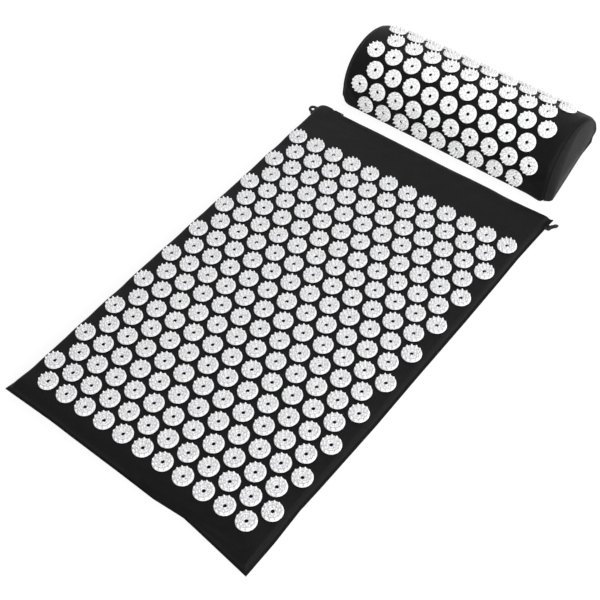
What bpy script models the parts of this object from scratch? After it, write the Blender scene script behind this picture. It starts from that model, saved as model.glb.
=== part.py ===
"""Acupressure mat and its half-round neck pillow.

Each has a foam core in a zipped cloth cover, and rows of spiked plastic discs on the cover.
Metres, +Z up. The origin is the centre of the mat's underside, and +Y runs to its head end.
"""

import math

import bmesh
import bpy
from mathutils import Matrix, Vector

# Gap that touching pieces keep
seat_gap = 0.0003

# Cloth of both covers
cloth_thickness = 0.001

# Disc: a round plate, and the spikes above it as one crown
disc_diameter = 0.0262
disc_plate_thickness = 0.0012
disc_crown_diameter = 0.0242
disc_spike_height = 0.004
disc_sides = 8
disc_pitch = 0.0323
disc_row_pitch = 0.0275

# Mat, with the bare cloth that it has beyond the discs at each edge
mat_width = 0.400
mat_length = 0.641
mat_foam_thickness = 0.020
mat_foam_edge_radius = 0.005
mat_foam_side_room = 0.006
mat_foam_head_room = 0.0125
mat_foam_foot_room = 0.0165
mat_seam_height = 0.0095
mat_seam_flange = 0.0025
mat_side_roll = 0.0065
mat_foot_roll = 0.020
mat_head_roll = 0.016
mat_head_wall_share = 0.3
mat_foot_ear = 0.004
mat_foot_ear_sharpness = 8
mat_least_side_band = 0.007
mat_foot_band = 0.02465
mat_least_head_band = 0.060

# Pillow
pillow_length = 0.358
pillow_radius = 0.0705
pillow_axis_height = 0.014
pillow_front_leg_angle = math.radians(169.2)
pillow_end_radius = 0.010
pillow_end_seam_angle = math.radians(45)
pillow_base_corner = 0.0025
pillow_x = -0.011
pillow_gap = 0.0385
pillow_left_band = 0.01815
pillow_least_right_band = 0.020
pillow_first_row_angle = math.radians(177.8)
pillow_least_row_angle = math.radians(35)
pillow_zip_height = 0.0085
pillow_zip_end_room = 0.019

# Zip, the same on both covers: across is along the tape's width, out is away from the cover
zip_end_margin = 0.001
zip_opening = 0.010
zip_tape_thickness = 0.0006
zip_tape_inner_edge = 0.001
zip_tape_outer_edge = 0.006
zip_coil_inner_edge = 0.00065
zip_coil_outer_edge = 0.0032
zip_coil_thickness = 0.002
zip_coil_rounding = 0.0006
zip_stop_length = 0.002
zip_stop_wall = 0.0007
slider_length = 0.012
slider_half_width = 0.0045
slider_plate_thickness = 0.001
slider_post_thickness = 0.0007
slider_lug_length = 0.0036
slider_lug_thickness = 0.0008
slider_pin_radius = 0.0006
pull_eye_radius = 0.0016
pull_eye_width = 0.0034
pull_length = 0.022
pull_neck_thickness = 0.0012
pull_grip_length = 0.015
pull_grip_width = 0.006
pull_grip_thickness = 0.00095
pull_hole_diameter = 0.003

# Cord loops at the head corners
loop_cord_diameter = 0.0028
loop_ring_diameter = 0.0092
loop_reach = 0.0118
loop_inset = 0.0095
loop_stem = 0.0015
left_loop_heading = math.radians(180)
left_loop_tilt = math.radians(0)
right_loop_heading = math.radians(54)
right_loop_tilt = math.radians(-52)

# Points on round stretches
roll_segments = 3
arc_segments = 18
end_segments = 3
corner_segments = 2
bevel_segments = 2
loop_points = 12

# How far a cutter or a joined piece runs past the face that it meets
overrun = 0.0005

# Points this close together become one
weld_distance = 0.000003

# Sizes and places that follow from the ones above
cover_clearance = cloth_thickness + seat_gap
mat_foam_width = mat_width - 2 * mat_foam_side_room
mat_foam_length = mat_length - mat_foam_head_room - mat_foam_foot_room
mat_foam_top = cover_clearance + mat_foam_thickness
mat_top = mat_foam_top + cover_clearance
mat_head_y = mat_length / 2
seam_half = seat_gap / 2 + cloth_thickness
mat_zip_length = mat_width - 2 * (mat_seam_flange + mat_side_roll + zip_end_margin)
pillow_y = mat_head_y + pillow_gap + pillow_radius
pillow_zip_length = pillow_length - 2 * pillow_zip_end_room
pillow_row_angle_step = disc_row_pitch / (pillow_radius - cloth_thickness)
zip_tape_face = -(cloth_thickness + 2 * seat_gap)
coil_bottom = zip_tape_face + seat_gap
coil_top = coil_bottom + zip_coil_thickness
slider_plate_bottom = coil_top + seat_gap
slider_plate_top = slider_plate_bottom + slider_plate_thickness
slider_inner_top = zip_tape_face - zip_tape_thickness - seat_gap
slider_inner_bottom = slider_inner_top - slider_plate_thickness
pull_pin_out = slider_plate_top + seat_gap + pull_eye_radius

MATERIALS = {
    "mat_cloth": ((0.012, 0.012, 0.013), 0.85, 0.0),
    "pillow_cloth": ((0.012, 0.012, 0.013), 0.85, 0.0),
    "foam": ((0.75, 0.72, 0.62), 0.95, 0.0),
    "disc": ((0.86, 0.86, 0.87), 0.35, 0.0),
    "zip_tape": ((0.015, 0.015, 0.016), 0.9, 0.0),
    "zip_coil": ((0.02, 0.02, 0.02), 0.5, 0.0),
    "zip_metal": ((0.02, 0.02, 0.022), 0.4, 0.9),
    "cord": ((0.012, 0.012, 0.013), 0.8, 0.0),
}


def new_collection(name):
    collection = bpy.data.collections.new(name)
    bpy.context.scene.collection.children.link(collection)
    return collection


def clear_scene():
    for obj in list(bpy.data.objects):
        bpy.data.objects.remove(obj, do_unlink=True)


def new_material(name, finish):
    """A Principled BSDF in the colour, roughness and metallic value of one finish."""
    colour, roughness, metallic = MATERIALS[finish]
    material = bpy.data.materials.new(name)
    material.use_nodes = True
    shader = material.node_tree.nodes["Principled BSDF"]
    shader.inputs["Base Color"].default_value = (*colour, 1.0)
    shader.inputs["Roughness"].default_value = roughness
    shader.inputs["Metallic"].default_value = metallic
    material.diffuse_color = (*colour, 1.0)
    return material


def add_object(name, data, finish, collection, parent=None):
    obj = bpy.data.objects.new(name, data)
    collection.objects.link(obj)
    if not data.materials:
        data.materials.append(new_material(name, finish))
    obj.parent = parent
    return obj


def add_empty(name, location, collection, parent=None):
    obj = bpy.data.objects.new(name, None)
    obj.location = location
    obj.parent = parent
    collection.objects.link(obj)
    return obj


def mesh_from(bm, name, smooth=True):
    mesh = bpy.data.meshes.new(name)
    for face in bm.faces:
        face.smooth = smooth
    bm.to_mesh(mesh)
    bm.free()
    return mesh


def box_mesh(name, size):
    bm = bmesh.new()
    bmesh.ops.create_cube(bm, size=1)
    bmesh.ops.scale(bm, vec=size, verts=bm.verts)
    return mesh_from(bm, name, smooth=False)


def cylinder_mesh(name, radius, length, segments=12):
    bm = bmesh.new()
    bmesh.ops.create_cone(
        bm, cap_ends=True, segments=segments, radius1=radius, radius2=radius, depth=length
    )
    return mesh_from(bm, name)


def bevel(obj, width, segments=bevel_segments):
    modifier = obj.modifiers.new("rounded edges", "BEVEL")
    modifier.width = width
    modifier.segments = segments
    modifier.limit_method = "ANGLE"


def solidify(obj):
    """Gives an open surface its cloth thickness, inwards from the outer face."""
    modifier = obj.modifiers.new("cloth", "SOLIDIFY")
    modifier.thickness = cloth_thickness
    modifier.offset = -1


def join_or_cut(obj, other, operation, cutters):
    modifier = obj.modifiers.new(operation.lower(), "BOOLEAN")
    modifier.operation = operation
    modifier.solver = "EXACT"
    modifier.object = other
    cutters.objects.link(other)
    other.parent = obj.parent
    other.hide_render = True
    other.display_type = "WIRE"


def shaped_grid(name, columns, rows, place, inside_out=False):
    """An open surface of columns by rows faces, with each corner put where place(i, j) says."""
    bm = bmesh.new()
    bmesh.ops.create_grid(bm, x_segments=columns, y_segments=rows, size=1)
    for vert in bm.verts:
        i = round((vert.co.x + 1) / 2 * columns)
        j = round((vert.co.y + 1) / 2 * rows)
        vert.co = place(i, j)
    if inside_out:
        bmesh.ops.reverse_faces(bm, faces=bm.faces)
    return mesh_from(bm, name)


def outline_curve(name, outlines, thickness):
    """A flat filled outline, extruded to its thickness about its own plane."""
    curve = bpy.data.curves.new(name, "CURVE")
    curve.dimensions = "2D"
    curve.fill_mode = "BOTH"
    curve.extrude = thickness / 2
    for points in outlines:
        spline = curve.splines.new("POLY")
        spline.points.add(len(points) - 1)
        spline.use_cyclic_u = True
        for point, (x, y) in zip(spline.points, points):
            point.co = (x, y, 0, 1)
    return curve


def circle_points(radius, count):
    angles = [2 * math.pi * i / count for i in range(count)]
    return [(radius * math.cos(a), radius * math.sin(a)) for a in angles]


def mirrored(points):
    """Closes a half outline, given from the axis outwards, with its mirror image across x = 0."""
    return points + [(-x, y) for x, y in reversed(points)]


# Discs


def fitting(span, pitch):
    """How many discs at this pitch fit whole into a span."""
    return int((span - disc_diameter) / pitch) + 1


def disc_rings(bm, middle):
    """Points round one disc, at its underside, its plate's top and its crown."""
    levels = (
        (disc_diameter / 2, 0),
        (disc_diameter / 2, disc_plate_thickness),
        (disc_crown_diameter / 2, disc_plate_thickness + disc_spike_height),
    )
    angles = [2 * math.pi * (k + 1 / 2) / disc_sides for k in range(disc_sides)]
    return [
        [bm.verts.new((middle + r * math.cos(a), r * math.sin(a), height)) for a in angles]
        for r, height in levels
    ]


def disc_row_mesh(name, count):
    """Discs in a row along X, joined plate to plate by the low web that makes them one body."""
    bm = bmesh.new()
    back = disc_sides // 2
    web_start = None
    for i in range(count):
        low, high, crown = disc_rings(bm, (i - (count - 1) / 2) * disc_pitch)
        bm.faces.new(low)
        bm.faces.new(crown)
        for k in range(disc_sides):
            bm.faces.new((high[k - 1], high[k], crown[k], crown[k - 1]))
            joined = (k == 0 and i < count - 1) or (k == back and i > 0)
            if not joined:
                bm.faces.new((low[k - 1], low[k], high[k], high[k - 1]))
        web_end = (low[back], low[back - 1], high[back - 1], high[back])
        if web_start:
            for a in range(len(web_end)):
                bm.faces.new((web_start[a - 1], web_start[a], web_end[a], web_end[a - 1]))
        web_start = (low[-1], low[0], high[0], high[-1])
    bmesh.ops.recalc_face_normals(bm, faces=bm.faces)
    return mesh_from(bm, name)


def add_mat_discs(collection, parent):
    """Long and short rows in turn from the foot end, the first a short one."""
    meshes = {}
    long_count = fitting(mat_width - 2 * mat_least_side_band, disc_pitch)
    row_count = fitting(mat_length - mat_foot_band - mat_least_head_band, disc_row_pitch)
    first_row_y = mat_foot_band + disc_diameter / 2 - mat_length / 2
    for row in range(row_count):
        count = long_count - (row + 1) % 2
        if count not in meshes:
            meshes[count] = disc_row_mesh(f"mat_discs_{count}", count)
        name = f"mat_disc_row_{row + 1:02d}"
        obj = add_object(name, meshes[count], "disc", collection, parent)
        obj.location = (0, first_row_y + row * disc_row_pitch, mat_top + seat_gap)


def add_pillow_discs(collection, parent):
    """Rows from the low front one up over the top, on flat spots tangent to the cloth."""
    meshes = {}
    radius = pillow_radius + seat_gap
    long_count = fitting(pillow_length - pillow_left_band - pillow_least_right_band, disc_pitch)
    long_row = disc_diameter + (long_count - 1) * disc_pitch
    middle = pillow_left_band + long_row / 2 - pillow_length / 2
    row_count = int((pillow_first_row_angle - pillow_least_row_angle) / pillow_row_angle_step) + 1
    for row in range(row_count):
        count = long_count - (row + 1) % 2
        if count not in meshes:
            meshes[count] = disc_row_mesh(f"pillow_discs_{count}", count)
        name = f"pillow_disc_row_{row + 1}"
        obj = add_object(name, meshes[count], "disc", collection, parent)
        turn = pillow_first_row_angle - row * pillow_row_angle_step
        angle = min(turn, pillow_front_leg_angle)
        down_leg = radius * (turn - angle)
        y = radius * math.cos(angle) - down_leg * math.sin(angle)
        z = pillow_axis_height + radius * math.sin(angle) + down_leg * math.cos(angle)
        obj.location = (middle, y, z)
        obj.rotation_euler = (angle - math.pi / 2, 0, 0)


# Mat cover and core


def edge_stations(flange, roll, wall_share=0.0):
    """(inset from the seam, share of the rise) at each line of a cover's rolled edge."""
    stations = [(0.0, 0.0)]
    if flange:
        stations.append((flange, 0.0))
    if wall_share:
        stations.append((flange, wall_share))
    for k in range(1, roll_segments + 1):
        angle = math.pi / 2 * k / roll_segments
        rise = wall_share + (1 - wall_share) * math.sin(angle)
        stations.append((flange + roll * (1 - math.cos(angle)), rise))
    return stations


def across_stations(low_edge, high_edge, half, inner_count):
    """(place, rise) from one edge of a panel to the other."""
    low = [(-half + inset, rise) for inset, rise in low_edge]
    high = [(half - inset, rise) for inset, rise in reversed(high_edge)]
    span = high[0][0] - low[-1][0]
    inner = [(low[-1][0] + span * k / (inner_count + 1), 1.0) for k in range(1, inner_count + 1)]
    return low + inner + high


def zip_gap_half(x, half_length, close_length):
    """Half of the gap between the two panels beside a zip, which closes past the zip's ends."""
    past = min(max((abs(x) - half_length) / close_length, 0), 1)
    return zip_opening / 2 + (seam_half - zip_opening / 2) * past


def mat_panel_mesh(name, full_height, side):
    """One face of the mat cover: side is 1 for the top panel and -1 for the bottom panel."""
    side_edge = edge_stations(mat_seam_flange, mat_side_roll)
    foot_edge = edge_stations(mat_seam_flange, mat_foot_roll)
    head_edge = edge_stations(0.0, mat_head_roll, mat_head_wall_share)
    columns = across_stations(side_edge, side_edge, mat_width / 2, 3)
    rows = across_stations(foot_edge, head_edge, mat_length / 2, 3)
    zip_half = mat_width / 2 - mat_seam_flange - mat_side_roll

    def place(i, j):
        x, rise_x = columns[i]
        y, rise_y = rows[j]
        edge_gap = seam_half
        if y > mat_head_y - mat_head_roll:
            edge_gap = zip_gap_half(x, zip_half, mat_side_roll)
        edge_height = mat_seam_height + side * edge_gap
        z = edge_height + (full_height - edge_height) * rise_x * rise_y
        corner = abs(x) / (mat_width / 2) * max(-y, 0) / (mat_length / 2)
        ear = mat_foot_ear * corner**mat_foot_ear_sharpness
        return x + math.copysign(ear, x), y - ear, z

    return shaped_grid(name, len(columns) - 1, len(rows) - 1, place, inside_out=side < 0)


def add_mat_cover(collection, parent):
    for name, height, side in (("top", mat_top, 1), ("bottom", 0.0, -1)):
        node = f"mat_cover_{name}"
        mesh = mat_panel_mesh(node, height, side)
        solidify(add_object(node, mesh, "mat_cloth", collection, parent))


def add_mat_foam(collection, parent):
    size = (mat_foam_width, mat_foam_length, mat_foam_thickness)
    foam = add_object("mat_foam", box_mesh("mat_foam", size), "foam", collection, parent)
    shift = (mat_foam_foot_room - mat_foam_head_room) / 2
    foam.location = (0, shift, cover_clearance + mat_foam_thickness / 2)
    bevel(foam, mat_foam_edge_radius)


def add_loop(name, side, heading, tilt, collection, parent):
    """A cord loop with both ends in the side seam; side is -1 for the left corner."""
    curve = bpy.data.curves.new(name, "CURVE")
    curve.dimensions = "3D"
    curve.bevel_depth = loop_cord_diameter / 2
    curve.bevel_resolution = 2
    curve.use_fill_caps = True
    ring = (loop_ring_diameter - loop_cord_diameter) / 2 + seat_gap
    strand = loop_cord_diameter / 2 + seat_gap
    opening = math.asin(strand / ring)
    centre = loop_reach - loop_cord_diameter / 2 - ring
    turn = Matrix.Rotation(heading, 3, "Z") @ Matrix.Rotation(tilt, 3, "X")
    points = [Vector((0, -side * strand, 0)), Vector((side * loop_stem, -side * strand, 0))]
    for k in range(loop_points + 1):
        angle = math.pi + opening + (2 * math.pi - 2 * opening) * k / loop_points
        points.append(turn @ Vector((centre + ring * math.cos(angle), ring * math.sin(angle), 0)))
    points.append(Vector((side * loop_stem, side * strand, 0)))
    points.append(Vector((0, side * strand, 0)))
    spline = curve.splines.new("POLY")
    spline.points.add(len(points) - 1)
    for point, place in zip(spline.points, points):
        point.co = (*place, 1)
    obj = add_object(name, curve, "cord", collection, parent)
    obj.location = (side * (mat_width / 2 + seat_gap), mat_head_y - loop_inset, mat_seam_height)


# Pillow cover and core


def d_profile(inset, count):
    """Points (y, z) over the pillow's round, front leg to back leg, this far inside its skin."""
    radius = pillow_radius - inset
    points = []
    for k in range(count + 1):
        angle = pillow_front_leg_angle * (1 - k / count)
        points.append((radius * math.cos(angle), pillow_axis_height + radius * math.sin(angle)))
    return points


def front_leg_y(inset, height):
    """Place at this height of the pillow's straight front leg, which leaves the round smoothly."""
    above = (height - pillow_axis_height) * math.sin(pillow_front_leg_angle)
    return (pillow_radius - inset - above) / math.cos(pillow_front_leg_angle)


def base_profile(inset):
    """Points (y, z) along the pillow's base, from its front edge to its turned-up back edge."""
    radius = pillow_radius - inset
    points = [(front_leg_y(inset, inset), inset)]
    for k in range(corner_segments + 1):
        angle = math.pi / 2 * k / corner_segments
        back = radius - pillow_base_corner * (1 - math.sin(angle))
        points.append((back, inset + pillow_base_corner * (1 - math.cos(angle))))
    return points


def d_outline(inset):
    """The closed outline (y, z) of the pillow's section, this far inside its skin."""
    return d_profile(inset, arc_segments) + base_profile(inset)[::-1]


def rounded_end(radius, start, stop, segments):
    """(depth, inset) pairs round a quarter circle: 0 is along the pillow, 90 degrees is its end."""
    pairs = []
    for k in range(segments + 1):
        angle = start + (stop - start) * k / segments
        pairs.append((radius * (1 - math.sin(angle)), radius * (1 - math.cos(angle))))
    return pairs


def end_stations():
    """(place along X, inset) of each line of the cover, from its left end seam to its right."""
    pairs = rounded_end(pillow_end_radius, pillow_end_seam_angle, 0, end_segments)
    left = [(depth - pillow_length / 2, inset) for depth, inset in pairs]
    return left + [(0.0, 0.0)] + [(-x, inset) for x, inset in reversed(left)]


def lofted(name, stations):
    """A mesh through the pillow's outline at each (place along X, inset). Its last ring is filled."""
    bm = bmesh.new()
    rings = [
        [bm.verts.new((x, y, z)) for y, z in d_outline(inset)] for x, inset in stations
    ]
    for ring, following in zip(rings, rings[1:]):
        for k in range(len(ring)):
            bm.faces.new((ring[k - 1], ring[k], following[k], following[k - 1]))
    cap = bm.faces.new(rings[-1])
    return bm, rings[0], cap


def pillow_gap_half(x):
    half = pillow_length / 2 - pillow_end_radius
    return zip_gap_half(x, half, pillow_end_radius * math.sin(pillow_end_seam_angle))


def add_pillow_top(collection, parent):
    """The curved panel, from its front seam on the base panel over to the zip at the back."""
    stations = end_stations()
    half_circle = arc_segments + 1

    def place(i, j):
        x, inset = stations[i]
        profile = d_profile(inset, arc_segments)
        if j == 0:
            low = inset + cover_clearance
            return x, front_leg_y(inset, low), low
        if j <= half_circle:
            return x, *profile[j - 1]
        low = pillow_zip_height + pillow_gap_half(x)
        return x, profile[-1][0], low

    mesh = shaped_grid("pillow_cover_top", len(stations) - 1, half_circle + 1, place)
    solidify(add_object("pillow_cover_top", mesh, "pillow_cloth", collection, parent))


def add_pillow_base(collection, parent):
    """The flat panel, with its back edge turned up to the zip."""
    stations = end_stations()
    rows = corner_segments + 2

    def place(i, j):
        x, inset = stations[i]
        if j < rows:
            return x, *base_profile(inset)[j]
        return x, pillow_radius - inset, pillow_zip_height - pillow_gap_half(x)

    mesh = shaped_grid("pillow_cover_base", len(stations) - 1, rows, place, inside_out=True)
    solidify(add_object("pillow_cover_base", mesh, "pillow_cloth", collection, parent))


def add_pillow_end(name, side, collection, parent):
    """A D-shaped panel with a rounded rim; side is -1 for the left end."""
    rim_gap_angle = 2 * seat_gap / (pillow_end_radius - cloth_thickness)
    rim_start = pillow_end_seam_angle + rim_gap_angle
    pairs = rounded_end(pillow_end_radius, rim_start, math.pi / 2, end_segments)
    stations = [(side * (pillow_length / 2 - depth), inset) for depth, inset in pairs]
    bm, _, cap = lofted(name, stations)
    bmesh.ops.recalc_face_normals(bm, faces=bm.faces)
    if cap.normal.x * side < 0:
        bmesh.ops.reverse_faces(bm, faces=bm.faces)
    solidify(add_object(name, mesh_from(bm, name), "pillow_cloth", collection, parent))


def add_pillow_foam(collection, cutters, parent):
    """The half-round core, relieved along the back for the inside of the zip."""
    pairs = rounded_end(pillow_end_radius - cover_clearance, math.pi / 2, 0, end_segments)
    half = pillow_length / 2 - cover_clearance
    left = [(depth - half, inset + cover_clearance) for depth, inset in pairs]
    bm, first, _ = lofted("pillow_foam", left + [(-x, inset) for x, inset in reversed(left)])
    bm.faces.new(first)
    bmesh.ops.recalc_face_normals(bm, faces=bm.faces)
    mesh = mesh_from(bm, "pillow_foam")
    foam = add_object("pillow_foam", mesh, "foam", collection, parent)
    relief_depth = -slider_inner_bottom + seat_gap
    relief_top = pillow_zip_height + zip_tape_outer_edge + seat_gap
    size = (pillow_length, 2 * relief_depth, 2 * relief_top)
    cutter = bpy.data.objects.new("pillow_foam_relief", box_mesh("pillow_foam_relief", size))
    cutter.location = (0, pillow_radius, 0)
    join_or_cut(foam, cutter, "DIFFERENCE", cutters)


def as_mesh(obj):
    """Replaces a curve object by the mesh that it makes, under the same name and place."""
    graph = bpy.context.evaluated_depsgraph_get()
    mesh = bpy.data.meshes.new_from_object(obj.evaluated_get(graph))
    bm = bmesh.new()
    bm.from_mesh(mesh)
    bmesh.ops.remove_doubles(bm, verts=bm.verts, dist=weld_distance)
    bm.to_mesh(mesh)
    bm.free()
    name, collection, parent = obj.name, obj.users_collection[0], obj.parent
    place = obj.matrix_local.copy()
    material = obj.data.materials[0]
    bpy.data.objects.remove(obj, do_unlink=True)
    made = bpy.data.objects.new(name, mesh)
    made.parent = parent
    made.matrix_local = place
    if not mesh.materials:
        mesh.materials.append(material)
    collection.objects.link(made)
    return made


# Zips


def add_zip_half(prefix, name, side, length, collection, parent):
    """One tape and its coil; side is 1 above the slider's post and -1 below it."""
    width = zip_tape_outer_edge - zip_tape_inner_edge
    tape_name = f"{prefix}_zip_tape_{name}"
    tape_mesh = box_mesh(tape_name, (length, zip_tape_thickness, width))
    tape = add_object(tape_name, tape_mesh, "zip_tape", collection, parent)
    across = (zip_tape_outer_edge + zip_tape_inner_edge) / 2
    tape.location = (0, zip_tape_face - zip_tape_thickness / 2, side * across)
    coil_width = zip_coil_outer_edge - zip_coil_inner_edge
    coil_name = f"{prefix}_zip_coil_{name}"
    coil_mesh = box_mesh(coil_name, (length, zip_coil_thickness, coil_width))
    coil = add_object(coil_name, coil_mesh, "zip_coil", collection, parent)
    across = (zip_coil_outer_edge + zip_coil_inner_edge) / 2
    coil.location = (0, (coil_bottom + coil_top) / 2, side * across)
    bevel(coil, zip_coil_rounding)


def stop_mesh(name):
    """A clip over both coils, open towards the tapes, as an outline extruded along the zip."""
    inner = zip_coil_outer_edge + seat_gap
    outer = inner + zip_stop_wall
    low = coil_bottom
    floor = coil_top + seat_gap
    outline = mirrored([(inner, floor), (inner, low), (outer, low), (outer, floor + zip_stop_wall)])
    return outline_curve(name, [outline], zip_stop_length)


def slider_outline():
    """The slider's section across the zip: two plates on a thin post, with side flanges."""
    half_post = slider_post_thickness / 2
    flange_inner = zip_coil_outer_edge + seat_gap
    half = slider_half_width
    right = [
        (half, slider_inner_bottom),
        (half, slider_inner_top),
        (half_post, slider_inner_top),
        (half_post, slider_plate_bottom),
        (flange_inner, slider_plate_bottom),
        (flange_inner, coil_bottom),
        (half, coil_bottom),
        (half, slider_plate_top),
    ]
    return mirrored(right)


def add_slider(prefix, place, collection, cutters, parent):
    """The slider, with two lugs and a pin for the pull tab. Returns the pin's parent empty."""
    name = f"{prefix}_zip_slider"
    pivot = add_empty(f"{name}_place", place, collection, parent)
    curve = outline_curve(name, [slider_outline()], slider_length)
    body = add_object(name, curve, "zip_metal", collection, pivot)
    body.rotation_euler = (0, -math.pi / 2, 0)
    bpy.context.view_layer.update()
    body = as_mesh(body)
    lug_height = pull_pin_out + slider_pin_radius + slider_lug_thickness / 2
    lug_height = lug_height - slider_plate_top + overrun
    size = (slider_lug_length, lug_height, slider_lug_thickness)
    across = pull_eye_width / 2 + seat_gap + slider_lug_thickness / 2
    for end, sign in (("upper", 1), ("lower", -1)):
        lug_name = f"{name}_lug_{end}"
        lug = bpy.data.objects.new(lug_name, box_mesh(lug_name, size))
        lug.location = (0, slider_plate_top - overrun + lug_height / 2, sign * across)
        join_or_cut(body, lug, "UNION", cutters)
    pin_length = 2 * across + slider_lug_thickness / 2
    pin_mesh = cylinder_mesh(f"{name}_pin", slider_pin_radius, pin_length)
    pin = bpy.data.objects.new(f"{name}_pin", pin_mesh)
    pin.location = (0, pull_pin_out, 0)
    join_or_cut(body, pin, "UNION", cutters)
    return add_empty(f"{prefix}_zip_pull_axis", (0, pull_pin_out, 0), collection, pivot)


def add_pull(prefix, collection, cutters, axis):
    """The pull tab on its pin: an eye, a neck and a wider grip with a hole."""
    name = f"{prefix}_zip_pull"
    neck = pull_neck_thickness / 2
    eye_start = math.asin(neck / pull_eye_radius)
    count = 16
    eye = []
    for k in range(count + 1):
        angle = eye_start + (2 * math.pi - 2 * eye_start) * k / count
        eye.append((pull_eye_radius * math.cos(angle), pull_eye_radius * math.sin(angle)))
    grip_start = pull_length - pull_grip_length
    outline = eye + [(grip_start + overrun, -neck), (grip_start + overrun, neck)]
    hole = circle_points(slider_pin_radius + seat_gap, count)
    curve = outline_curve(name, [outline, hole], pull_eye_width)
    pull = as_mesh(add_object(name, curve, "zip_metal", collection, axis))
    grip_name = f"{name}_grip"
    size = (pull_grip_length, pull_grip_thickness, pull_grip_width)
    grip = bpy.data.objects.new(grip_name, box_mesh(grip_name, size))
    grip.location = (grip_start + pull_grip_length / 2, 0, 0)
    join_or_cut(pull, grip, "UNION", cutters)
    hole_name = f"{name}_hole"
    hole_length = pull_grip_thickness + 2 * overrun
    hole_mesh = cylinder_mesh(hole_name, pull_hole_diameter / 2, hole_length)
    cutter = bpy.data.objects.new(hole_name, hole_mesh)
    cutter.location = (pull_length - pull_hole_diameter, 0, 0)
    cutter.rotation_euler = (math.pi / 2, 0, 0)
    join_or_cut(pull, cutter, "DIFFERENCE", cutters)


def add_zip(prefix, place, length, collection, cutters, parent):
    """A zip along X that faces +Y. The slider rests against the stop at its -X end."""
    frame = add_empty(f"{prefix}_zip_frame", place, collection, parent)
    for name, side in (("upper", 1), ("lower", -1)):
        add_zip_half(prefix, name, side, length, collection, frame)
    stop_place = length / 2 - seat_gap - zip_stop_length / 2
    for name, sign in (("left", -1), ("right", 1)):
        stop_name = f"{prefix}_zip_stop_{name}"
        stop = add_object(stop_name, stop_mesh(stop_name), "zip_metal", collection, frame)
        stop.rotation_euler = (0, -math.pi / 2, 0)
        stop.location = (sign * stop_place, 0, 0)
    slider_x = -stop_place + zip_stop_length / 2 + seat_gap + slider_length / 2
    axis = add_slider(prefix, (slider_x, 0, 0), collection, cutters, frame)
    add_pull(prefix, collection, cutters, axis)


def main():
    clear_scene()
    collection = new_collection("acupressure_mat")
    cutters = new_collection("cutters")
    cutters.hide_render = True

    mat = add_empty("mat", (0, 0, 0), collection)
    add_mat_foam(collection, mat)
    add_mat_cover(collection, mat)
    mat_zip_place = (0, mat_head_y, mat_seam_height)
    add_zip("mat", mat_zip_place, mat_zip_length, collection, cutters, mat)
    loops = (
        ("mat_loop_left", -1, left_loop_heading, left_loop_tilt),
        ("mat_loop_right", 1, right_loop_heading, right_loop_tilt),
    )
    for name, side, heading, tilt in loops:
        add_loop(name, side, heading, tilt, collection, mat)
    add_mat_discs(collection, mat)

    pillow = add_empty("pillow", (pillow_x, pillow_y, 0), collection)
    add_pillow_foam(collection, cutters, pillow)
    add_pillow_top(collection, pillow)
    add_pillow_base(collection, pillow)
    add_pillow_end("pillow_cover_end_left", -1, collection, pillow)
    add_pillow_end("pillow_cover_end_right", 1, collection, pillow)
    pillow_zip_place = (0, pillow_radius, pillow_zip_height)
    add_zip("pillow", pillow_zip_place, pillow_zip_length, collection, cutters, pillow)
    add_pillow_discs(collection, pillow)
    bpy.context.view_layer.update()


main()
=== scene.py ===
"""Looks of the acupressure mat and its neck pillow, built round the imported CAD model.

Metres, +Z up, in the CAD's frame: the origin is the centre of the mat's underside, and +Y runs
to the mat's head end and on to the pillow.
"""

from math import asin, cos, exp, pi, radians, sin

import bmesh
import bpy
import numpy as np
from mathutils import Matrix, Vector, noise


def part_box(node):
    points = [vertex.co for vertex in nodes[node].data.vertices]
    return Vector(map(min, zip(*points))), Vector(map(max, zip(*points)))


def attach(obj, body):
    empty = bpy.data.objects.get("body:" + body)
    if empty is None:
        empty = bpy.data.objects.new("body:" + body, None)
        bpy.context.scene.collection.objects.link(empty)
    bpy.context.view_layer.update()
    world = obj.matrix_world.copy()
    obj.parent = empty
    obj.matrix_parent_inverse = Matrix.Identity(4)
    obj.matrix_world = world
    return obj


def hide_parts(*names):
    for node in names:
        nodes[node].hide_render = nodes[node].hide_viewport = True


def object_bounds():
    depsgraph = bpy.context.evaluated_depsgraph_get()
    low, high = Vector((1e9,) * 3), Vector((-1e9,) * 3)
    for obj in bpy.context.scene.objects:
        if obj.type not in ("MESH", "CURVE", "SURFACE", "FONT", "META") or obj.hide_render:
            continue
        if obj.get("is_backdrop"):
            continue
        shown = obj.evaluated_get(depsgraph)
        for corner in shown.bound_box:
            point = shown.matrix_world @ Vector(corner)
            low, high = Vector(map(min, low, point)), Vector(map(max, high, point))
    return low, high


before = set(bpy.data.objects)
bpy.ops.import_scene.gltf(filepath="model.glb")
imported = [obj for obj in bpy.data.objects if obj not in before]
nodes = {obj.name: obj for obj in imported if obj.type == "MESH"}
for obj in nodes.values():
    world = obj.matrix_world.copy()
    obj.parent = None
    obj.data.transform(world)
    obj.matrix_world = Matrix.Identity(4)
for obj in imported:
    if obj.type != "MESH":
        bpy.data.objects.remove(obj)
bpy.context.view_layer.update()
rng = np.random.default_rng(12)
scene = bpy.context.scene

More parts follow.
